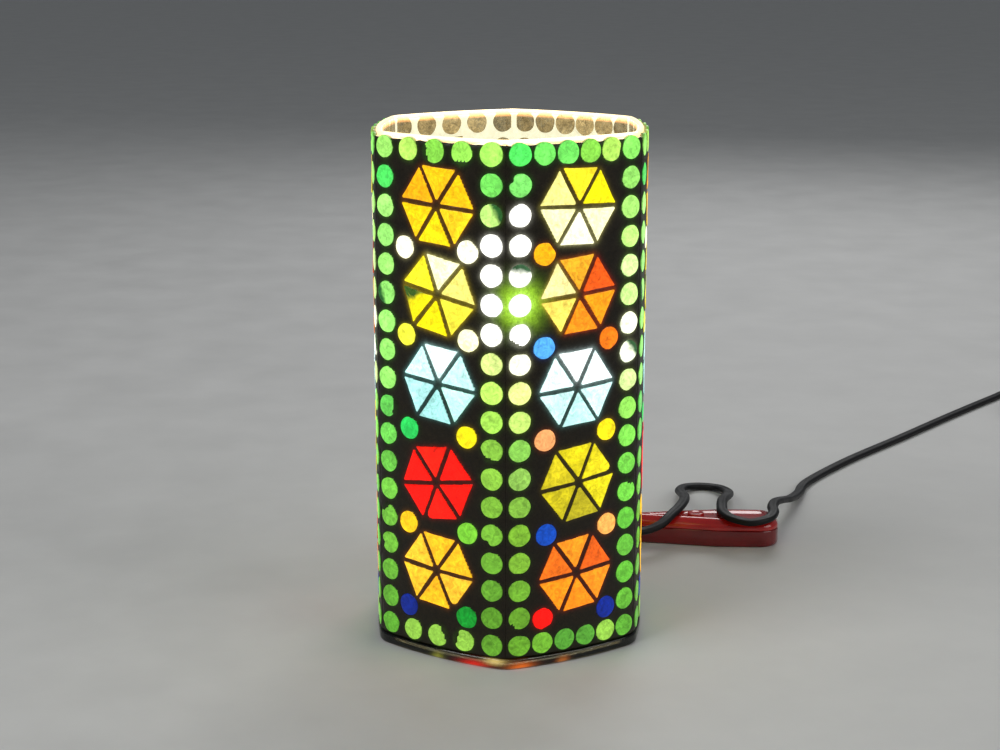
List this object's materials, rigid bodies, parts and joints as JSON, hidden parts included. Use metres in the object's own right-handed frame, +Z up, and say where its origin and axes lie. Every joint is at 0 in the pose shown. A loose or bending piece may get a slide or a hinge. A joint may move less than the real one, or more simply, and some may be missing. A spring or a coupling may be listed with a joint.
{
  "type": "table lamp",
  "caption": "Mosaic table lamp: an open six-sided glass vessel set with coloured glass tiles round a bayonet bulb, with a red hand switch and a black lead.",
  "frame": {"origin": "centre of the glass foot, on the surface the lamp stands on", "axes": "+Z up along the axis of the vessel; -Y towards the front corner of the six-sided vessel; the cords leave at +Y"},
  "size_m": [0.4524, 0.4907, 0.225],
  "materials": {
    "clear_glass": "polished clear glass, slightly green at the edges",
    "grout": "black cement grout, wiped smooth, with a dull gloss",
    "green_tile": "translucent hammered stained glass",
    "flower_tile": "translucent hammered stained glass in mixed colours",
    "accent_tile": "translucent hammered stained glass in mixed colours",
    "brass": "lacquered brass",
    "steel": "zinc plated",
    "black_bakelite": "moulded, satin",
    "white_insulator": "moulded urea, satin",
    "contact_brass": "bare brass",
    "brown_wire": "PVC insulation",
    "black_flex": "flat twin PVC sheath, satin",
    "black_rubber": "matt moulded",
    "bulb_glass": "clear blown glass",
    "bulb_metal": "drawn, satin",
    "black_glass": "vitrite glass",
    "solder": "solder",
    "stem_glass": "clear drawn glass",
    "lead_wire": "drawn wire",
    "filament": "glowing tungsten",
    "dark_red_plastic": "glossy moulded maroon",
    "red_plastic": "glossy moulded red",
    "tie_plastic": "ribbed strap",
    "black_plastic": "moulded PVC, satin",
    "pin_nickel": "nickel plated brass"
  },
  "bodies": {
    "lamp": {"front_left_grout": "grout", "front_left_border": "green_tile", "front_left_flowers": "flower_tile", "front_right_grout": "grout", "front_right_border": "green_tile", "front_right_flowers": "flower_tile", "right_grout": "grout", "right_border": "green_tile", "right_flowers": "flower_tile", "back_right_grout": "grout", "back_right_border": "green_tile", "back_right_flowers": "flower_tile", "back_left_grout": "grout", "back_left_border": "green_tile", "back_left_flowers": "flower_tile", "left_grout": "grout", "left_border": "green_tile", "left_flowers": "flower_tile", "vessel": "clear_glass", "accent_dots": "accent_tile", "nipple": "brass", "lock_nut": "brass", "washers": "steel", "holder_cap": "brass", "holder_body": "brass", "holder_ring": "black_bakelite", "holder_insulator": "white_insulator", "plunger_springs": "steel", "holder_terminals": "contact_brass", "terminal_screws": "steel", "terminal_wires": "brown_wire", "inner_leads": "black_flex", "mains_grommet": "black_rubber", "switch_grommet": "black_rubber", "switch_base": "dark_red_plastic", "switch_cover": "red_plastic", "button_spring": "steel", "contact_strips": "contact_brass", "switch_screws": "steel", "switch_relief": "black_rubber", "switch_wires": "brown_wire", "mains_lead": "black_flex", "switch_lead": "black_flex", "cord_coil": "black_flex", "coil_tie": "tie_plastic", "plug_tail": "black_flex", "plug_body": "black_plastic", "plug_pins": "pin_nickel", "plug_relief": "black_rubber"},
    "plungers": {"contact_plungers": "contact_brass"},
    "bulb": {"bulb_glass": "bulb_glass", "bulb_cap": "bulb_metal", "bayonet_pins": "bulb_metal", "bulb_insulator": "black_glass", "bulb_contacts": "solder", "bulb_stem": "stem_glass", "filament_supports": "lead_wire", "filament": "filament"},
    "button": {"switch_button": "red_plastic", "contact_bridge": "contact_brass"}
  },
  "joints": [
    {"name": "bulb_push", "type": "slide", "parent": "lamp", "child": "plungers", "axis": [0, 0, 1], "range_m": [-0.0025, 0], "stiffness_N_per_m": 2000, "springref_m": 0.002, "deforming": ["plunger_springs"]},
    {"name": "bulb_twist", "type": "hinge", "parent": "plungers", "child": "bulb", "pos_m": [0, 0, 0.07], "axis": [0, 0, 1], "range_deg": [0, 18]},
    {"name": "button_press", "type": "slide", "parent": "lamp", "child": "button", "axis": [0, 0, 1], "range_m": [-0.002, 0], "stiffness_N_per_m": 500, "springref_m": 0.002, "deforming": ["button_spring"]}
  ]
}
